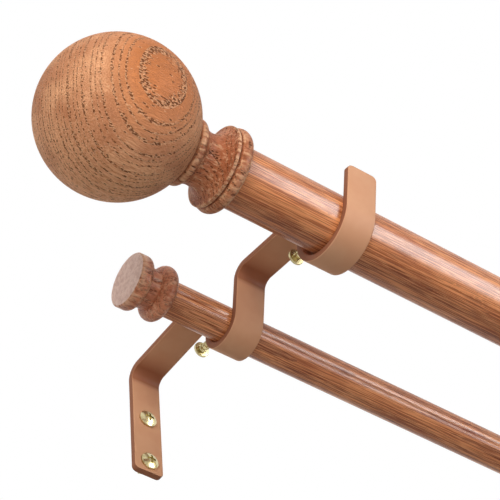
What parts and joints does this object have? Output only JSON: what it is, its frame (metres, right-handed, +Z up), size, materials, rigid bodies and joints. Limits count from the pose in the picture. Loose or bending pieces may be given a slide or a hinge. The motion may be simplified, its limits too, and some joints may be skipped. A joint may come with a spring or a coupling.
{
  "type": "double curtain pole",
  "caption": "Double curtain pole: a thick front pole with turned ball finials and a thin back pole with disc end caps, in bent flat-strip wall brackets.",
  "frame": {"origin": "on the wall, midway between the brackets and midway between the upper and lower wall screws", "axes": "+X along the poles, +Y into the wall, +Z up"},
  "size_m": [0.7984, 0.1927, 0.0739],
  "materials": {
    "stained_wood": "stained and lacquered, satin gloss",
    "finial_wood": "stained open-grained wood, matt to satin",
    "strip_paint": "satin tan paint",
    "screw_brass": "bright",
    "dowel_steel": "plain"
  },
  "bodies": {
    "root": {"front_pole": "stained_wood", "back_pole": "stained_wood", "left_bracket": "strip_paint", "left_ball_finial": "finial_wood", "left_end_cap": "finial_wood", "left_front_dowel_screw": "dowel_steel", "left_front_lock_screw": "screw_brass", "left_back_dowel_screw": "dowel_steel", "left_back_lock_screw": "screw_brass", "left_upper_wall_screw": "screw_brass", "left_lower_wall_screw": "screw_brass", "right_bracket": "strip_paint", "right_ball_finial": "finial_wood", "right_end_cap": "finial_wood", "right_front_dowel_screw": "dowel_steel", "right_front_lock_screw": "screw_brass", "right_back_dowel_screw": "dowel_steel", "right_back_lock_screw": "screw_brass", "right_upper_wall_screw": "screw_brass", "right_lower_wall_screw": "screw_brass"}
  },
  "joints": []
}
